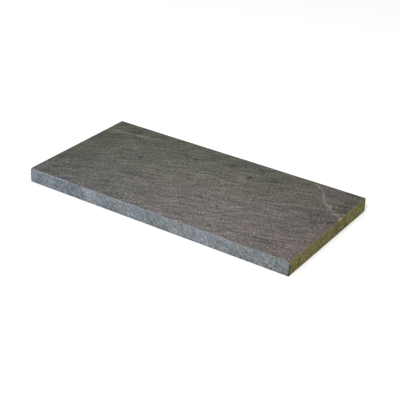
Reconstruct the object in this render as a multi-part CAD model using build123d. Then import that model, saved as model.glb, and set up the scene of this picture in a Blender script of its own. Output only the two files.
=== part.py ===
from build123d import *
import os

# A rectangular slab of dark, basalt-like natural stone, modelled as the one solid piece that it is.
#
# The slab lies flat, with its origin at the middle of its underside. +X runs along its length, +Y across
# its width towards the back, and +Z up through its thickness. Its underside and its four sides are sawn
# flat and square. Its top is split along the grain; the model's top is the mean plane of that split face.
# The sawn sides meet each other, the top and the underside in eased arrises. The point at the front left
# of the top is worn away. Sizes are in millimetres.

# The slab
LENGTH = 600.0
WIDTH = 300.0
THICKNESS = 29.5

# Its arrises
UPRIGHT_ARRIS_RADIUS = 0.8
TOP_ARRIS_EASE = 0.5
BOTTOM_ARRIS_EASE = 0.7
WORN_POINT_RADIUS = 14.0  # of the large ball that takes it off
WORN_POINT_DEPTH = 2.6

HALF_LENGTH = LENGTH / 2
HALF_WIDTH = WIDTH / 2


def sawn_block():
    """The slab as it leaves the saw, with its four upright arrises eased."""
    block = Box(LENGTH, WIDTH, THICKNESS, align=(Align.CENTER, Align.CENTER, Align.MIN))
    return fillet(block.edges().filter_by(Axis.Z), UPRIGHT_ARRIS_RADIUS)


def eased(block):
    """The block with its top and bottom arrises taken off all round."""
    block = chamfer(block.faces().sort_by(Axis.Z)[-1].edges(), TOP_ARRIS_EASE)
    return chamfer(block.faces().sort_by(Axis.Z)[0].edges(), BOTTOM_ARRIS_EASE)


def worn_point():
    """The ball that takes the point off the front left of the top."""
    outward = Vector(-1, -1, 1).normalized()
    point = Vector(-HALF_LENGTH, -HALF_WIDTH, THICKNESS)
    return Pos(point + outward * (WORN_POINT_RADIUS - WORN_POINT_DEPTH)) * Sphere(WORN_POINT_RADIUS)


def stone_slab():
    """The whole slab, one closed solid."""
    return eased(sawn_block()) - worn_point()


os.makedirs("parts", exist_ok=True)
export_step(stone_slab(), "parts/stone_slab.step")
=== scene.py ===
import math

import bmesh
import bpy
import numpy as np
from mathutils import Euler, Matrix, Vector, noise


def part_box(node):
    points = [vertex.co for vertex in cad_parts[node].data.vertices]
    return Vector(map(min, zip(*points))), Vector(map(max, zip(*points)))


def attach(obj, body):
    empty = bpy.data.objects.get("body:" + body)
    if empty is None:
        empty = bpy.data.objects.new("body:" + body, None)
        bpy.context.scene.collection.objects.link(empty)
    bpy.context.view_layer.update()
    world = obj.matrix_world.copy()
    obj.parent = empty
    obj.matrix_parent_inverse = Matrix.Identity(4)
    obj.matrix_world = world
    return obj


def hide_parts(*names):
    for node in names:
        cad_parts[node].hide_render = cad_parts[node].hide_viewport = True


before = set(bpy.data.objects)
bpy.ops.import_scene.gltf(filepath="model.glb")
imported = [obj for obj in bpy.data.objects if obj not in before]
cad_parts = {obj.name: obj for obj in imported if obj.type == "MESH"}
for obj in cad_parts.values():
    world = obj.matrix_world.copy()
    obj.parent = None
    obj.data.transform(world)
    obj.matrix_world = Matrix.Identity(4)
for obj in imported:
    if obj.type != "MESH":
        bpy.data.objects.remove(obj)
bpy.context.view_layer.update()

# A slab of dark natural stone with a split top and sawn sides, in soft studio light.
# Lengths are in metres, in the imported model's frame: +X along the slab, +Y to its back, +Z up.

MM = 0.001
SLAB_LOW, SLAB_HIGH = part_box("stone_slab")
LENGTH, WIDTH, THICKNESS = SLAB_HIGH - SLAB_LOW
HALF_LENGTH, HALF_WIDTH = LENGTH / 2, WIDTH / 2
TOUCHING = 1e-7  # nearer to a face than this counts as on it
NO_LENGTH = 1e-12  # stands in for a length of nothing, so that it can divide
FAR_OFF = 9.0  # half widths from a line, for a point that is clear of it

# ---------------------------------------------------------------- camera and light

AZIMUTH, ELEVATION, ROLL = 33.07, 28.04, 2.09
CAMERA_DISTANCE = 3.437 * LENGTH
CAMERA_RIGHT, CAMERA_UP = 0.0165 * LENGTH, -0.0134 * LENGTH
LENS, SENSOR = 93.1, 36

ROOM_STRENGTH = 0.7
KEY_AZIMUTH, KEY_ELEVATION = 14, 44
KEY_DISTANCE, KEY_WIDTH, KEY_HEIGHT = 6, 3.6, 2.7
KEY_WATTS = 320
FLOOR_HALF = 8
FLOOR_COLOUR = (0.92, 0.92, 0.92)


def direction(azimuth, elevation):
    """The way from the slab to an azimuth, which is 0 in front and 90 at the right, and an elevation."""
    a, e = math.radians(azimuth), math.radians(elevation)
    return Vector((math.sin(a) * math.cos(e), -math.cos(a) * math.cos(e), math.sin(e)))


def aimed(right, up, back, place):
    """The matrix of a camera or lamp at a place, from its three axes."""
    matrix = Matrix((right, up, back)).transposed().to_4x4()
    matrix.translation = place
    return matrix


def add_camera():
    """A long lens in front of the slab and to its right, tipped a little out of level."""
    back = direction(AZIMUTH, ELEVATION)
    level = Vector((0, 0, 1)).cross(back).normalized()
    upright = back.cross(level)
    tip = math.radians(ROLL)
    right = level * math.cos(tip) + upright * math.sin(tip)
    up = upright * math.cos(tip) - level * math.sin(tip)
    data = bpy.data.cameras.new("camera")
    data.lens = LENS
    data.sensor_width = SENSOR
    camera = bpy.data.objects.new("camera", data)
    bpy.context.scene.collection.objects.link(camera)
    place = back * CAMERA_DISTANCE + right * CAMERA_RIGHT + up * CAMERA_UP
    camera.matrix_world = aimed(right, up, back, place)
    bpy.context.scene.camera = camera


def add_key():
    """One rectangular softbox in front of the slab and above it."""
    back = direction(KEY_AZIMUTH, KEY_ELEVATION)
    right = Vector((0, 0, 1)).cross(back).normalized()
    data = bpy.data.lights.new("key", "AREA")
    data.shape = "RECTANGLE"
    data.size = KEY_WIDTH
    data.size_y = KEY_HEIGHT
    data.energy = KEY_WATTS
    lamp = bpy.data.objects.new("key", data)
    bpy.context.scene.collection.objects.link(lamp)
    lamp.matrix_world = aimed(right, back.cross(right), back, back * KEY_DISTANCE)


def add_room():
    """Even white light from all round, and a pale floor."""
    world = bpy.data.worlds.new("room")
    bpy.context.scene.world = world
    world.use_nodes = True
    world.node_tree.nodes["Background"].inputs["Color"].default_value = (1, 1, 1, 1)
    world.node_tree.nodes["Background"].inputs["Strength"].default_value = ROOM_STRENGTH
    floor = bmesh.new()
    bmesh.ops.create_grid(floor, x_segments=1, y_segments=1, size=FLOOR_HALF)
    bmesh.ops.translate(floor, vec=(0, 0, SLAB_LOW.z), verts=floor.verts)
    piece = mesh_object("floor", floor)
    finish = Finish("pale_floor")
    finish.end(**{"Base Color": (*FLOOR_COLOUR, 1), "Roughness": 0.9, "Specular IOR Level": 0.1})
    piece.data.materials.append(finish.material)


def mesh_object(name, built):
    """A bmesh as an object at the origin."""
    mesh = bpy.data.meshes.new(name)
    built.to_mesh(mesh)
    built.free()
    piece = bpy.data.objects.new(name, mesh)
    bpy.context.scene.collection.objects.link(piece)
    return piece


# ---------------------------------------------------------------- material nodes


class Value:
    """What a socket gives, which varies over a surface. Sums with numbers add their Math nodes."""

    def __init__(self, finish, socket):
        self.finish = finish
        self.socket = socket

    def math(self, operation, *terms):
        return self.finish.node("ShaderNodeMath", {"operation": operation}, dict(enumerate(terms)))

    def __add__(self, other):
        return self.math("ADD", self, other)

    def __sub__(self, other):
        return self.math("SUBTRACT", self, other)

    def __rsub__(self, other):
        return self.math("SUBTRACT", other, self)

    def __mul__(self, other):
        return self.math("MULTIPLY", self, other)

    __radd__ = __add__
    __rmul__ = __mul__

    def magnitude(self):
        """The number without its sign."""
        return self.math("ABSOLUTE", self)

    def step(self, start, end):
        """0 up to start, 1 from end on, and a smooth rise between. It falls if end is below start."""
        return self.finish.node(
            "ShaderNodeMapRange",
            {"interpolation_type": "SMOOTHSTEP"},
            {"Value": self, "From Min": start, "From Max": end},
        )


class Finish:
    """A material, and the one method that adds a node to it."""

    def __init__(self, name):
        self.material = bpy.data.materials.new(name)
        self.material.use_nodes = True
        self.tree = self.material.node_tree
        self.tree.nodes.clear()

    def node(self, kind, settings=None, inputs=None, output=0):
        """Adds a node with its settings made first, then its sockets' values or links."""
        made = self.tree.nodes.new(kind)
        for setting, choice in (settings or {}).items():
            if setting == "stops":
                self.set_stops(made.color_ramp, choice)
            else:
                setattr(made, setting, choice)
        for socket, given in (inputs or {}).items():
            if isinstance(given, Value):
                self.tree.links.new(given.socket, made.inputs[socket])
            else:
                made.inputs[socket].default_value = given
        return Value(self, made.outputs[output]) if made.outputs else None

    @staticmethod
    def set_stops(ramp, stops):
        """A ramp's stops, each a place from 0 to 1 and a colour."""
        while len(ramp.elements) < len(stops):
            ramp.elements.new(1)
        for element, (place, colour) in zip(ramp.elements, stops):
            element.position = place
            element.color = (*colour, 1)

    def ramp(self, tone, *stops):
        """The colour of a tone from 0 to 1, by stops of a place and a colour."""
        return self.node("ShaderNodeValToRGB", {"stops": stops}, {0: tone})

    def mix(self, share, under, over, blend="MIX"):
        """Two colours mixed: under where share is 0, and over where it is 1."""
        inputs = {0: share}
        for socket, colour in ((6, under), (7, over)):
            inputs[socket] = colour if isinstance(colour, Value) else (*colour, 1)
        return self.node("ShaderNodeMix", {"data_type": "RGBA", "blend_type": blend}, inputs, output=2)

    def scaled(self, colour, red, green, blue):
        """A colour with each of its channels times its own number."""
        shares = self.node("ShaderNodeCombineColor", inputs={0: red, 1: green, 2: blue})
        return self.mix(1, colour, shares, "MULTIPLY")

    def attribute(self, name):
        """A number stored on the mesh's points."""
        return self.node("ShaderNodeAttribute", {"attribute_name": name}, output=2)

    def stretched(self, place, angle, along):
        """Places for a pattern that is drawn out along a direction at this angle from +X, in degrees."""
        return self.node(
            "ShaderNodeMapping",
            {"vector_type": "TEXTURE"},
            {"Vector": place, "Rotation": Euler((0, 0, math.radians(angle))), "Scale": (along, 1, 1)},
        )

    def speckle(self, place, grain, detail=0.0, roughness=0.5, dimensions="3D"):
        """Even noise about 0, mostly between -1 and 1, with grains of this size in metres."""
        made = self.node(
            "ShaderNodeTexNoise",
            {"noise_dimensions": dimensions, "noise_type": "FBM", "normalize": True},
            {"Vector": place, "Scale": 1 / grain, "Detail": detail, "Roughness": roughness},
        )
        return (made - 0.5) * 4

    def streaks(self, place, grain, stretch):
        """Even noise over the top, with grains this wide that are drawn out along the stone's grain."""
        grained = self.stretched(place, GRAIN_ANGLE, stretch)
        return self.speckle(grained, grain, dimensions="2D")

    def end(self, **inputs):
        """Closes the material with a Principled shader."""
        surface = self.node("ShaderNodeBsdfPrincipled", inputs=inputs)
        self.node("ShaderNodeOutputMaterial", inputs={"Surface": surface})


def tint(red, green, blue):
    """A colour in steps of 255, each over 10, as the linear light that materials use."""
    return tuple(((c / 255 + 0.055) / 1.055) ** 2.4 for c in (red, green, blue))


# ---------------------------------------------------------------- the slab's shape

COLUMNS, ROWS = 376, 188  # grid lines on the top, both in fours
SIDE_ROWS = 17
COARSER = 4  # one line underneath for this many on the top
CROWDED = 8 * MM  # lines lie closer together this far from an arris
CROWDING = 2.0

UPRIGHT_RADIUS = 0.8 * MM
TOP_ROUND = 0.55 * MM
BOTTOM_ROUND = 0.75 * MM

GRAIN_ANGLE = 22  # the split runs along this direction, in degrees from +X
SAW_LEAN = 1.3  # how far the saw's marks go along a side for each step down
WANDER = ((0.0, 11 * MM), (7.3, 11 * MM), (0.0, 0.0))  # how the grain bends: a noise's shift, its reach

WORN_POINT_RADIUS = 14 * MM
WORN_POINT_DEPTH = 2.6 * MM
WORN_POINT_MARGIN = 1.1  # how far the ball is looked for, as a share of its radius
WORN_POINT_UNEVENNESS = 0.05  # how much that radius varies, as a share of it

VEIN = (  # x, y and half width, in mm, from the back of the top to its right end
    (186, 152, 1.0),
    (196, 141, 1.4),
    (205, 135, 2.4),
    (211, 132, 2.8),
    (217, 127, 1.0),
    (225, 117, 1.8),
    (231, 105, 2.5),
    (237, 94, 2.8),
    (243, 84, 2.9),
    (248, 80, 2.2),
    (255, 75, 2.3),
    (265, 66, 2.9),
    (271, 58, 1.2),
    (279, 54, 2.4),
    (287, 52, 2.6),
    (294, 48, 2.2),
    (300, 44, 2.6),
    (303, 35, 3.2),
)
VEIN_DOWN_END = (  # y, z and half width, in mm
    (25, 30, 0.8),
    (17, 23, 1.2),
    (9, 18.5, 1.3),
    (2, 15, 0.4),
)
CRACK_DOWN_END = (  # y, z and half width, in mm
    (-117, 27, 0.7),
    (-115.5, 14, 1.5),
    (-113, 0, 2.6),
)
FOOT_DARK_SPOTS = (  # dark spots at the foot of the front and the right end: x, y and reach in mm, strength
    (-196, -150, 4.6, 0.6),
    (-97, -150, 6.4, 0.55),
    (-33, -150, 5.4, 0.45),
    (91, -150, 3.8, 0.65),
    (133, -150, 4.6, 0.6),
    (264, -150, 6.4, 0.6),
    (300, -149, 6.0, 1.0),
    (300, -112, 5.5, 0.9),
)
DARK_SPOT_CORE = 0.35  # the share of a spot's reach that is at full strength
PALE_STREAK = (  # x, y and half width, in mm
    (-302, 92, 0.4),
    (-288, 98, 1.0),
    (-277, 104, 0.9),
    (-262, 106, 0.8),
    (-249, 108, 1.2),
    (-236, 109, 0.5),
    (-226, 110, 1.8),
    (-218, 111, 3.0),
    (-211, 112, 2.0),
    (-204, 116, 2.4),
    (-197, 114, 0.4),
    (-190, 114, 0.8),
    (-183, 118, 1.8),
    (-174, 122, 1.2),
    (-167, 116, 0.4),
)
PITS = (  # x, y, half length, half width and depth, in mm
    (72, 87, 3.0, 11.5, 1.6),
    (-58, 90, 8.0, 4.2, 0.8),
    (-76, 81, 3.4, 5.4, 0.8),
    (-156, 27, 5.0, 4.4, 0.7),
    (-96, 3, 4.0, 3.0, 0.5),
    (-239, -27, 4.4, 4.6, 0.8),
    (-221, -40, 5.0, 3.8, 0.7),
    (-226, -84, 6.0, 3.0, 0.6),
    (-144, -100, 6.0, 4.0, 0.6),
    (-286, -68, 7.0, 2.8, 0.6),
    (-291, 2, 6.0, 3.6, 0.6),
    (36, -30, 3.8, 3.0, 0.6),
    (77, 8, 3.0, 3.0, 0.5),
    (27, -77, 4.0, 3.6, 0.6),
    (-270, -113, 12.0, 3.0, 0.5),
)
PATCHES = (  # x, y, half length and half width in mm, turn from +X in degrees, and tone: dark below 0
    (0, 0, 190, 70, 0, 0.35),
    (-240, 131, 20, 12, 0, -1.2),
    (-229, 121, 8, 6, 10, -1.0),
    (-285, 141, 22, 8, 0, -1.1),
    (-290, 55, 14, 45, 0, -0.8),
    (-258, 48, 12, 26, 0, -0.5),
    (-292, -75, 18, 34, 0, -1.4),
    (-264, -44, 18, 20, 0, -1.5),
    (-232, -50, 13, 15, 0, -1.7),
    (-252, -6, 16, 9, 0, -0.6),
    (-212, -76, 12, 9, 0, -0.9),
    (-176, -50, 12, 12, 0, -1.1),
    (-230, -90, 14, 9, 0, -1.0),
    (-262, -110, 30, 9, 10, -1.2),
    (-238, -138, 30, 9, 0, -1.3),
    (-184, -141, 36, 9, 0, -1.4),
    (-210, -114, 36, 9, 0, -0.8),
    (-153, 26, 11, 7, 0, -1.1),
    (-196, 8, 22, 9, 0, -0.8),
    (-128, -42, 18, 8, 10, -1.4),
    (-72, -38, 16, 6, 15, -0.8),
    (-134, -112, 20, 20, 0, -0.9),
    (-60, -100, 32, 12, -15, -1.1),
    (-100, -143, 22, 7, 0, -1.1),
    (-66, 91, 18, 9, 10, -1.5),
    (-96, 101, 18, 8, 0, -0.7),
    (-166, 99, 24, 9, 0, -0.5),
    (-168, 123, 14, 8, 0, -0.5),
    (-118, 131, 16, 9, 0, -0.6),
    (-224, 95, 22, 6, 0, -0.8),
    (-236, 20, 8, 14, 0, -0.6),
    (-30, 120, 16, 18, 0, -0.4),
    (15, 105, 13, 15, 0, -1.1),
    (48, 131, 30, 13, 0, -1.7),
    (84, 126, 20, 15, 0, -1.2),
    (74, 86, 7, 9, 0, -1.0),
    (32, 68, 11, 9, 0, -0.8),
    (122, 104, 18, 14, 0, -1.5),
    (120, 78, 17, 13, 0, -1.4),
    (136, 130, 20, 11, 0, -1.2),
    (-14, 60, 30, 8, -10, -0.5),
    (100, 30, 22, 15, 0, -1.1),
    (38, -40, 14, 11, 0, -0.8),
    (80, -36, 9, 8, 0, -1.0),
    (14, -62, 12, 11, 0, -0.8),
    (46, -127, 16, 8, 0, -1.3),
    (130, -74, 24, 9, 15, -0.7),
    (140, 34, 16, 8, 0, -0.5),
    (187, 46, 10, 12, 0, -1.0),
    (216, 32, 14, 16, 0, -1.1),
    (252, 24, 16, 14, 0, -1.4),
    (288, 16, 16, 18, 0, -1.4),
    (264, -2, 15, 12, 0, -1.4),
    (200, -4, 9, 8, 0, -0.7),
    (289, 110, 14, 14, 0, -1.6),
    (292, 76, 12, 13, 0, -2.0),
    (284, 40, 16, 8, 0, -0.7),
    (285, 66, 12, 6, -35, -1.1),
    (284, 92, 13, 8, 0, -0.8),
    (285, 141, 24, 9, 0, -1.4),
    (242, 108, 7, 10, 0, -0.8),
    (265, 128, 9, 14, 0, -0.7),
    (232, -53, 30, 7, 0, -0.9),
    (296, -46, 8, 14, 0, -1.0),
    (228, -118, 24, 13, 0, -1.4),
    (266, -108, 9, 9, 0, -0.7),
    (246, -143, 20, 8, 0, -1.0),
    (296, -122, 8, 20, 0, -1.0),
    (116, -130, 8, 10, 0, -0.7),
    (-205, 60, 22, 18, 0, 0.9),
    (-216, 18, 10, 9, 0, 1.7),
    (-178, -17, 16, 8, 0, 0.7),
    (-200, -42, 12, 9, 0, 0.9),
    (-192, -94, 20, 8, 20, 0.9),
    (-290, 18, 15, 12, 0, 1.0),
    (-272, 104, 24, 7, 12, 0.8),
    (-279, -125, 7, 14, 0, 0.7),
    (-118, -70, 18, 10, 0, 1.5),
    (-78, -78, 16, 7, 0, 0.9),
    (-98, -88, 10, 8, 0, 0.6),
    (-96, 50, 24, 10, 0, 1.2),
    (-142, 72, 20, 9, 0, 0.8),
    (-130, 112, 18, 6, 0, 0.6),
    (-56, 72, 22, 9, 10, 1.2),
    (-24, 85, 16, 8, 35, 0.8),
    (-118, 28, 12, 16, 0, 0.6),
    (-80, 20, 16, 10, 0, 0.9),
    (-55, -14, 16, 9, 30, 1.1),
    (-8, 31, 24, 8, 0, 1.0),
    (38, 40, 14, 6, 0, 1.1),
    (64, -2, 18, 15, 0, 1.2),
    (-56, -46, 22, 8, 0, 0.6),
    (-18, -50, 16, 14, 0, 0.7),
    (44, -64, 16, 7, 0, 0.9),
    (66, 65, 14, 13, 0, 0.8),
    (105, 66, 5, 9, 0, 0.6),
    (112, -42, 34, 12, 0, 1.2),
    (115, -10, 16, 9, 0, 0.8),
    (-120, -14, 10, 14, 0, -0.6),
    (-66, 1, 12, 8, 0, -0.7),
    (158, 0, 30, 20, 0, 0.4),
    (168, -50, 20, 9, 0, 1.7),
    (202, -26, 12, 12, 0, 1.1),
    (169, -72, 9, 14, 0, 0.7),
    (162, 92, 9, 9, 0, 0.7),
    (216, 103, 9, 8, 0, 0.8),
    (214, 130, 7, 6, 0, 0.8),
    (228, 108, 6, 13, -60, 1.3),
    (259, 78, 8, 12, 45, 1.3),
    (194, -95, 13, 8, 0, 0.8),
    (236, -82, 12, 8, 0, 0.8),
    (160, -128, 17, 9, 0, 1.8),
    (108, -106, 15, 19, 0, 1.7),
    (72, -104, 9, 7, 0, 0.7),
    (86, -80, 12, 11, 0, 0.6),
    (15, -144, 14, 7, 0, 1.1),
    (57, -146, 9, 5, 0, 1.3),
    (4, -92, 32, 13, 0, 0.7),
    (272, -92, 12, 18, 0, 0.9),
)
FRONT_TONES = (  # place along X in mm, and how much paler the stone is there, from -1 to 1
    (-300, 0.1),
    (-270, -0.4),
    (-245, 0.2),
    (-215, -0.5),
    (-170, -0.6),
    (-159, -0.5),
    (-151, 1.0),
    (-128, 0.7),
    (-98, -0.2),
    (-75, 0.0),
    (-50, 0.4),
    (10, -0.4),
    (28, -0.1),
    (50, 0.6),
    (72, 0.2),
    (105, 0.1),
    (125, 0.9),
    (142, 0.3),
    (170, 0.1),
    (200, -0.4),
    (235, 0.0),
    (300, -0.4),
)
FRONT_HIGHLIGHT = (  # place along X in mm, and how bright the painted highlight along the top front arris is there
    (-300, 0.6),
    (-272, 1.0),
    (-210, 1.2),
    (-196, 0.1),
    (-168, 0.1),
    (-150, 0.7),
    (-45, 0.7),
    (-30, 1.1),
    (-10, 0.6),
    (55, 0.5),
    (72, 0.1),
    (90, 0.8),
    (108, 0.1),
    (130, 0.9),
    (168, 0.7),
    (190, 0.25),
    (300, 0.25),
)
END_TONES = (  # place along Y in mm, and how much paler the stone is there, from -1 to 1
    (-150, -0.5),
    (-143, 0.3),
    (-136, -0.8),
    (-128, -0.3),
    (-123, 0.9),
    (-119, 0.3),
    (-108, 0.5),
    (-60, 0.4),
    (-25, -0.1),
    (0, 0.1),
    (35, -0.9),
    (50, -0.6),
    (60, 0.2),
    (67, -1.0),
    (77, -0.1),
    (95, 0.5),
    (140, 0.3),
    (150, -0.4),
)


def blank():
    """The slab as a closed skin with sharp arrises: a fine grid on top, rows down its sides and a coarse
    grid underneath, whose outer cells are divided to meet the rows."""
    skin = bmesh.new()
    bmesh.ops.create_grid(skin, x_segments=COLUMNS, y_segments=ROWS, size=0.5)
    rim = [edge for edge in skin.edges if edge.is_boundary]
    for _ in range(SIDE_ROWS):
        made = bmesh.ops.extrude_edge_only(skin, edges=rim)["geom"]
        lower = [part for part in made if isinstance(part, bmesh.types.BMVert)]
        bmesh.ops.translate(skin, vec=(0, 0, -1 / SIDE_ROWS), verts=lower)
        rim = [part for part in made if isinstance(part, bmesh.types.BMEdge) and part.is_boundary]
    under = bmesh.ops.create_grid(
        skin, x_segments=COLUMNS // COARSER, y_segments=ROWS // COARSER, size=0.5
    )["verts"]
    bmesh.ops.translate(skin, vec=(0, 0, -1), verts=under)
    outer = {edge for vert in under for edge in vert.link_edges if edge.is_boundary}
    bmesh.ops.subdivide_edges(skin, edges=list(outer), cuts=COARSER - 1)
    bmesh.ops.remove_doubles(skin, verts=skin.verts, dist=0.1 / COLUMNS)
    bmesh.ops.translate(skin, vec=(0, 0, 1), verts=skin.verts)
    bmesh.ops.scale(skin, vec=(LENGTH, WIDTH, THICKNESS), verts=skin.verts)
    bmesh.ops.recalc_face_normals(skin, faces=skin.faces)
    return skin


def crowd(place, half):
    """Places from -half to half, with those near the ends drawn closer to them."""
    inside = half - np.abs(place)
    drawn = np.where(inside < CROWDED, CROWDED * (inside / CROWDED) ** CROWDING, inside)
    return np.sign(place) * (half - drawn)


def rise(value, start, end):
    """0 up to start, 1 from end on, and a smooth rise between."""
    t = np.clip((value - start) / (end - start), 0, 1)
    return t * t * (3 - 2 * t)


def field(points, sizes, octaves=1, shift=0.0):
    """Noise at each point, between about -1 and 1, with features of these three sizes."""
    scaled = points / np.array(sizes) + shift
    if octaves == 1:
        return np.array([noise.noise(p) for p in scaled])
    return np.array([noise.fractal(p, 0.9, 2.1, octaves) for p in scaled])


def along_grain(points):
    """Points turned so that their first coordinate runs along the grain."""
    a = math.radians(GRAIN_ANGLE)
    turned = points.copy()
    turned[:, 0] = points[:, 0] * math.cos(a) + points[:, 1] * math.sin(a)
    turned[:, 1] = points[:, 1] * math.cos(a) - points[:, 0] * math.sin(a)
    return turned


def near_path(points, path):
    """How far each point in a plane is from a line of points, as a share of the line's half width."""
    nearest = np.full(len(points), FAR_OFF)
    for (ax, ay, aw), (bx, by, bw) in zip(path, path[1:]):
        start, run = np.array((ax, ay)) * MM, np.array((bx - ax, by - ay)) * MM
        share = np.clip((points - start) @ run / (run @ run), 0, 1)
        away = np.linalg.norm(points - start - share[:, None] * run, axis=1)
        nearest = np.minimum(nearest, away / ((aw + (bw - aw) * share) * MM))
    return nearest


def riven(points):
    """The split face's height above its mean plane at points on the top, and a tone that is paler on its
    crests: partly the stone's own tone, partly painted shading of the relief.
    """
    flat = along_grain(points * (1, 1, 0))
    bends = [field(flat, (0.09, 0.06, 1), shift=shift) * reach for shift, reach in WANDER]
    bent = flat + np.column_stack(bends)
    sizes = ((0.20, 0.040, 1), (0.085, 0.013, 1), (0.040, 0.0066, 1))
    swell, streaks, ripples = (field(bent, size, shift=3.1) for size in sizes)
    layers = field(bent, (0.12, 0.036, 1), octaves=3, shift=11.7) * 3.2
    whole = np.floor(layers)
    scarps = (whole + rise(layers - whole, 0.72, 1.0) - layers) * 0.20 * MM + layers * 0.05 * MM
    height = scarps + (swell * 0.20 + streaks * 0.12 + ripples * 0.10) * MM
    return height, streaks * 0.05 + ripples * 0.24


def pitted(points):
    """How deep each point lies in a pit of the top, and how much of a pit it is in, which darkens the
    colour there as painted shade.
    """
    depth, share = np.zeros(len(points)), np.zeros(len(points))
    for x, y, long, wide, deep in PITS:
        away = np.hypot((points[:, 0] - x * MM) / long, (points[:, 1] - y * MM) / wide) / MM
        hollow = rise(1 - away, 0, 0.6)
        depth = np.maximum(depth, hollow * deep * MM)
        share = np.maximum(share, hollow * min(deep / 1.2, 1))
    return depth, share


def patched(points):
    """How much paler the patches make each point on the top. It is below 0 where they make it darker."""
    flat = points * (1, 1, 0)
    ragged = np.column_stack([field(flat, (0.016, 0.016, 1), shift=s) for s in (2.9, 6.7)]) * 5 * MM
    ragged += points[:, :2]
    tone = np.zeros(len(points))
    for x, y, long, wide, turn, strength in PATCHES:
        out = (ragged - np.array((x, y)) * MM) @ np.array(Matrix.Rotation(math.radians(turn), 2))
        tone += strength * np.exp(-1.5 * ((out / (np.array((long, wide)) * MM)) ** 2).sum(axis=1))
    return tone


def darker_down_corner(points):
    """How much of the darkening down the front right arris each point has: more towards the foot."""
    reach = (1.2 + 5.0 * np.clip(1 - points[:, 2] / THICKNESS, 0, 1) ** 3) * MM
    away = np.hypot((points[:, 0] - HALF_LENGTH) * 2, points[:, 1] + HALF_WIDTH) / reach
    return 1 - rise(away, 0.3, 1.5)


def darkened_at_foot(points):
    """How dark the spots at the foot of the front and the right end make each point."""
    dark = np.zeros(len(points))
    for x, y, reach, strength in FOOT_DARK_SPOTS:
        away = np.linalg.norm(points - np.array((x, y, 0)) * MM, axis=1)
        dark = np.maximum(dark, strength * (1 - rise(away, reach * MM * DARK_SPOT_CORE, reach * MM)))
    return dark


def worn_away(spots):
    """The points with the front left one of the top pushed in by an uneven ball."""
    point = Vector((-HALF_LENGTH, -HALF_WIDTH, THICKNESS))
    centre = np.array(point + Vector((-1, -1, 1)).normalized() * (WORN_POINT_RADIUS - WORN_POINT_DEPTH))
    out = spots - centre
    away = np.linalg.norm(out, axis=1)
    near = away < WORN_POINT_RADIUS * WORN_POINT_MARGIN
    bumps = field(spots[near], (0.004, 0.004, 0.003), shift=9.5)
    uneven = WORN_POINT_RADIUS * (1 + WORN_POINT_UNEVENNESS * bumps)
    push = np.maximum(uneven / away[near], 1)
    spots[near] = centre + out[near] * push[:, None]
    return spots


def round_corners(x, y):
    """Places seen from above, with the square corners drawn onto quarter circles. Also gives the way
    inward from the nearest side, how far inside it each place lies, and whether that side is an end."""
    over = np.column_stack((np.abs(x) - HALF_LENGTH, np.abs(y) - HALF_WIDTH)) + UPRIGHT_RADIUS
    corner = (over > 0).all(axis=1)
    reach = np.maximum(np.hypot(*over.T), NO_LENGTH)
    drawn = over * (over.max(axis=1) / reach)[:, None]
    x = np.where(corner, np.sign(x) * (HALF_LENGTH - UPRIGHT_RADIUS + drawn[:, 0]), x)
    y = np.where(corner, np.sign(y) * (HALF_WIDTH - UPRIGHT_RADIUS + drawn[:, 1]), y)
    by_end = over[:, 0] > over[:, 1]
    inward = np.where(by_end[:, None], (1.0, 0.0), (0.0, 1.0))
    inward = np.where(corner[:, None], over / reach[:, None], inward)
    inward *= -np.sign(np.column_stack((x, y)))
    return x, y, inward, UPRIGHT_RADIUS - over.max(axis=1), by_end


def ease_arrises(spots, inward, inside, upper, below):
    """Wears down the arrises round the top and the underside, unevenly along their run."""
    wear = 1 + 0.5 * field(spots, (0.04, 0.04, 0.04))
    wear += 0.6 * field(spots, (0.009, 0.009, 0.02), shift=4.4)
    ease = np.where(upper, TOP_ROUND, BOTTOM_ROUND) * np.clip(wear, 0.4, 2.4)
    a, b = np.clip(ease - inside, 0, None), np.clip(ease - below, 0, None)
    stretch = ease / np.maximum(np.hypot(a, b), NO_LENGTH)
    rounded = (a > 0) & (b > 0)
    shift_in = np.where(rounded, ease - a * stretch - inside, 0)
    shift_down = np.where(rounded, ease - b * stretch - below, 0)
    spots[:, :2] += inward * shift_in[:, None]
    spots[:, 2] += np.where(upper, -1, 1) * shift_down


def saw_marks(spots, by_end):
    """How deep the saw has cut into the sides at each point."""
    around = np.where(by_end, spots[:, 1], spots[:, 0]) + spots[:, 2] * SAW_LEAN
    marks = np.column_stack((around, spots[:, 2], np.zeros(len(spots))))
    cut = field(marks, (0.006, 0.03, 1), shift=2.2) * 0.07
    cut += field(marks, (0.05, 1, 1), shift=8.8) * 0.10
    cut += field(spots, (0.005, 0.005, 0.005), shift=6.1) * 0.08
    return cut * MM


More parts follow.
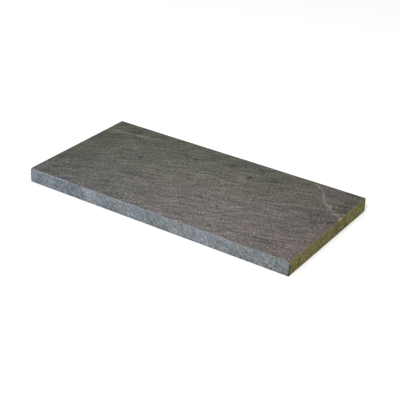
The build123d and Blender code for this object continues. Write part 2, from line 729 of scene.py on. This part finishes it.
def shaped(points):
    """Where each point of the blank ends up on the finished slab, and what its finish is told there."""
    x, y = crowd(points[:, 0], HALF_LENGTH), crowd(points[:, 1], HALF_WIDTH)
    z = crowd(points[:, 2] - THICKNESS / 2, THICKNESS / 2) + THICKNESS / 2
    on_side = (HALF_LENGTH - np.abs(x) < TOUCHING) | (HALF_WIDTH - np.abs(y) < TOUCHING)
    upper = z > THICKNESS / 2
    below = np.where(upper, THICKNESS - z, z)
    x, y, inward, inside, by_end = round_corners(x, y)
    spots = np.column_stack((x, y, z))
    ease_arrises(spots, inward, inside, upper, below)

    # the split top, which the upper side rows follow
    height, relief = np.zeros(len(x)), np.zeros(len(x))
    height[upper], relief[upper] = riven(spots[upper])
    depth, pit = pitted(spots)
    vein = near_path(spots[:, :2], VEIN)
    height += rise(1.3 - vein, 0, 0.9) * 0.18 * MM
    follow = rise(spots[:, 2], THICKNESS * 0.55, THICKNESS)
    spots[:, 2] += (height - depth) * follow

    fade = on_side * rise(below, 0.4 * MM, 3 * MM)
    spots[:, :2] -= inward * (saw_marks(spots, by_end) * fade)[:, None]
    spots = worn_away(spots)

    # what the finish is told
    on_level = below < TOUCHING
    flat = on_level & ~on_side
    sawn = np.where(on_side, np.where(on_level, 0.5, 1.0), 0.0)
    # Nearness to the arrises, for the painted shade along them, and to the top arrises, for the painted
    # highlights.
    edge = 1 - rise(np.hypot(inside, below), 0.3 * MM, 2.6 * MM)
    line = (1 - rise(below, 0.5 * MM, 2.0 * MM)) * (1 - rise(inside, 0.2 * MM, 1.0 * MM))
    front, right = ~by_end & (y < 0), by_end & (x > 0)
    lean = np.where(by_end, y, x) + spots[:, 2] * SAW_LEAN / 3
    tones = np.where(by_end, *(np.interp(lean / MM, *zip(*pairs)) for pairs in (END_TONES, FRONT_TONES)))
    return spots, {
        "sawn_long": sawn * ~by_end,
        "sawn_end": sawn * by_end,
        "underside": flat & ~upper,
        # Painted highlights along the top front and right arrises; painted shade along the top's other
        # arrises and round the underside.
        "front_line": line * upper * front * np.interp(x / MM, *zip(*FRONT_HIGHLIGHT)),
        "right_line": line * upper * right,
        "far_line": edge * upper * ~front * ~right,
        "heel": edge * ~upper,
        "corner": darker_down_corner(spots),
        "relief": relief * on_level,
        "pit": pit * follow,
        "stain": darkened_at_foot(spots),
        "side_tone": tones,
        "patch": patched(spots) * upper * on_level,
        "vein": np.where(upper & (below < 3 * MM), vein, FAR_OFF),
        "vein_down_end": near_path(spots[:, 1:], VEIN_DOWN_END),
        "crack_down_end": near_path(spots[:, 1:], CRACK_DOWN_END),
        "pale_streak": near_path(spots[:, :2], PALE_STREAK),
    }


def lay_flat(mesh):
    """Lays the skin out in one square: top, underside and long sides, with the ends beside them."""
    sheet = 690 * MM
    gap = 5 * MM
    layout = mesh.uv_layers.new(name="OFBake")
    count = len(mesh.polygons)
    normals = np.empty(count * 3)
    mesh.polygons.foreach_get("normal", normals)
    spots = np.empty(len(mesh.vertices) * 3)
    mesh.vertices.foreach_get("co", spots)
    corners = np.empty(len(mesh.loops), int)
    mesh.loops.foreach_get("vertex_index", corners)
    totals = np.empty(count, int)
    mesh.polygons.foreach_get("loop_total", totals)
    n = np.repeat(normals.reshape(-1, 3), totals, axis=0)
    p = spots.reshape(-1, 3)[corners]
    flat = np.abs(n[:, 2]) > 0.6
    long_side = np.abs(n[:, 1]) >= np.abs(n[:, 0])
    right, back, underside = n[:, 0] > 0, n[:, 1] > 0, n[:, 2] < 0
    along, across, level = p[:, 0] + HALF_LENGTH, p[:, 1] + HALF_WIDTH, p[:, 2]
    u_end = LENGTH + 2 * gap + level + right * (THICKNESS + gap)
    v_flat = gap + across + underside * (WIDTH + gap)
    v_side = 2 * WIDTH + 3 * gap + level + back * (THICKNESS + gap)
    u = np.where(flat | long_side, gap + along, u_end)
    v = np.where(flat, v_flat, np.where(long_side, v_side, gap + across))
    layout.data.foreach_set("uv", np.column_stack((u, v)).ravel() / sheet)


def make_slab():
    """The whole slab, with what its finish is told stored on its points."""
    piece = mesh_object("stone_slab_body", blank())
    mesh = piece.data
    points = np.empty(len(mesh.vertices) * 3)
    mesh.vertices.foreach_get("co", points)
    placed, told = shaped(points.reshape(-1, 3))
    mesh.vertices.foreach_set("co", placed.ravel())
    for name, values in told.items():
        mesh.attributes.new(name, "FLOAT", "POINT").data.foreach_set("value", values.astype(np.float32))
    mesh.polygons.foreach_set("use_smooth", [True] * len(mesh.polygons))
    mesh.update()
    lay_flat(mesh)
    return piece


# ---------------------------------------------------------------- the stone's finish


def split_face(stone, place, x, y, ragged):
    """The split top: crests and hollows along the grain, from greenish grey at the back left to a warmer
    grey at the front right, with a pale vein and painted light falloff that brightens it towards the
    front middle. Gives its colour and its fine height."""
    crystals = stone.streaks(place, 3.2 * MM, 1) * 0.145 + stone.streaks(place, 2.4 * MM, 2.2) * 0.125
    threads = stone.streaks(place, 4.2 * MM, 2.6) * 0.045 + stone.streaks(place, 7 * MM, 2.6) * 0.035
    grain = crystals + threads
    streak = (stone.attribute("pale_streak") + ragged * 0.6).step(2.0, 0.2)
    vein = (stone.attribute("vein") + ragged * 0.5).step(1.9, 0.3)
    vein = vein * (0.8 + stone.speckle(place, 11 * MM, 2) * 0.5)
    even = 1 - (streak + vein) * 0.5
    # relief pales the crests and darkens the hollows: partly the stone's own tone, partly painted
    # shading.
    tone = 0.5 + (grain + stone.attribute("relief")) * even + stone.attribute("patch") * 0.13
    # Pits are darkened as painted shade.
    tone = tone + streak * 0.3 + vein * 0.29 - stone.attribute("pit") * 0.5
    colour = stone.ramp(
        tone,
        (0.0, tint(33, 38, 29)),
        (0.25, tint(62, 66, 59)),
        (0.5, tint(86, 85, 79)),
        (0.75, tint(107, 105, 98)),
        (1.0, tint(138, 134, 126)),
    )
    # Painted light falloff: the top is brighter towards its front middle and darker towards its back and
    # its ends.
    near = (0.52 - y * 2.8 - (x - 0.07).magnitude() * 1.7).step(-0.4, 1.1)
    shade = 0.80 + near * 0.42
    red = 1.025 + x * (0.27 + x * 0.4) - y * 0.27
    blue = 1.01 - y * 0.6 + x * (0.15 + y * 0.76)
    colour = stone.scaled(colour, shade * red, shade, shade * blue)
    return stone.mix(streak * 0.4 + vein * 0.15, colour, tint(126, 112, 107)), grain


def sawn_faces(stone, place, x, y, z, ragged):
    """The sawn sides: fine crystals crossed by saw marks, bluish along the slab and olive at its ends.
    Gives both colours and their fine height."""
    marks = stone.node("ShaderNodeCombineXYZ", inputs={0: (x + y + z * SAW_LEAN) * 2.6, 1: z})
    fine_saw, saw = stone.speckle(marks, 7 * MM, 0), stone.speckle(marks, 14 * MM, 0)
    crystals, grains = stone.speckle(place, 2.3 * MM, 0), stone.speckle(place, 5.5 * MM, 0)
    bands = stone.attribute("side_tone")
    long_side = stone.ramp(
        0.5 + crystals * 0.2 + grains * 0.08 + fine_saw * 0.17 + saw * 0.09 + bands * 0.13,
        (0.0, tint(46, 52, 54)),
        (0.3, tint(80, 88, 91)),
        (0.5, tint(98, 104, 109)),
        (0.7, tint(116, 121, 127)),
        (1.0, tint(148, 152, 160)),
    )
    hue = stone.speckle(place, 3.4 * MM, 2, 0.7).step(-0.8, 0.8)
    long_side = stone.scaled(long_side, 0.95 + hue * 0.1, 1.03 - hue * 0.06, 0.97 + hue * 0.06)
    greyer = (x * 1.4 + 0.5).step(0, 1)
    long_side = stone.scaled(long_side, 0.98 + greyer * 0.04, 1.0, 1.03 - greyer * 0.08)
    down = (stone.attribute("vein_down_end") + ragged * 0.4).step(1.8, 0.4)
    crack = (stone.attribute("crack_down_end") + ragged * 0.3).step(1.8, 0.5)
    end_tone = 0.5 + crystals * 0.2 + grains * 0.14 + fine_saw * 0.18 + bands * 0.12
    ends = stone.ramp(
        end_tone + down * 0.2 - crack * 0.25,
        (0.0, tint(51, 47, 15)),
        (0.5, tint(89, 85, 41)),
        (1.0, tint(128, 124, 72)),
    )
    return long_side, ends, crystals * 0.1 + fine_saw * 0.1


def stone_finish():
    """Dark stone with a split top and sawn sides, with painted highlights and painted shade along its
    arrises and dark spots at its foot.
    """
    stone = Finish("natural_stone")
    place = stone.node("ShaderNodeTexCoord", output=3)
    x, y, z = (stone.node("ShaderNodeSeparateXYZ", inputs={0: place}, output=axis) for axis in range(3))
    sawn_long, sawn_end = stone.attribute("sawn_long"), stone.attribute("sawn_end")
    ragged = stone.speckle(place, 5 * MM, 3, 0.7)
    split, split_height = split_face(stone, place, x, y, ragged)
    long_side, ends, sawn_height = sawn_faces(stone, place, x, y, z, ragged)

    colour = stone.mix(sawn_long, split, long_side)
    colour = stone.mix(sawn_end, colour, ends)
    colour = stone.mix(stone.attribute("underside"), colour, long_side)
    green = stone.speckle(place, 28 * MM, 4, 0.85)
    blue = stone.speckle(stone.stretched(place, 70, 1.3), 20 * MM, 4, 0.9)
    colour = stone.scaled(colour, 1.0, 1 + green * 0.07, 1 + blue * 0.13)

    # A patchy noise that breaks up the painted highlights and the painted shade along the arrises.
    patchy = ragged.step(-0.8, 0.8)
    # Painted highlight: a pale bluish line along the top front arris.
    colour = stone.mix(stone.attribute("front_line") * patchy, colour, tint(153, 152, 174))
    # Painted highlights: an orange line along the top right arris, paler where the vein meets it.
    colour = stone.mix(stone.attribute("right_line") * patchy * 0.8, colour, tint(140, 103, 78))
    vein_highlight = (stone.attribute("vein") + ragged * 0.3).step(1.7, 0.8) * stone.attribute("right_line")
    colour = stone.mix(vein_highlight, colour, tint(184, 150, 126))
    # Painted shade: a dark line along the top's back and left arrises.
    colour = stone.mix(stone.attribute("far_line") * 0.6, colour, tint(40, 40, 36))
    # Painted shade along the lower arrises: bluish grey under the long sides, brown under the ends.
    heel = stone.mix(sawn_end, tint(50, 50, 60), tint(62, 44, 18))
    colour = stone.mix(stone.attribute("heel") * patchy * 0.75, colour, heel)
    # Darker down the front right upright arris, most at its foot.
    colour = stone.mix(stone.attribute("corner") * 0.85, colour, tint(38, 43, 27))
    # Dark spots at the foot of the front and the right end.
    colour = stone.mix(stone.attribute("stain") * 0.9, colour, tint(36, 40, 28))

    sawn = sawn_long + sawn_end + stone.attribute("underside")
    height = split_height * (1 - sawn) + sawn_height * sawn
    bump = stone.node("ShaderNodeBump", inputs={"Strength": 1.0, "Distance": 1 * MM, "Height": height})
    stone.end(
        **{
            "Base Color": colour,
            "Roughness": 0.84 + ragged * 0.05,
            "Normal": bump,
            "Specular IOR Level": 0.25,
        }
    )
    return stone.material


# ---------------------------------------------------------------- the scene

bpy.context.scene.view_settings.view_transform = "Standard"
add_camera()
add_key()
add_room()
slab = make_slab()
slab.data.materials.append(stone_finish())
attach(slab, "root")
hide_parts("stone_slab")
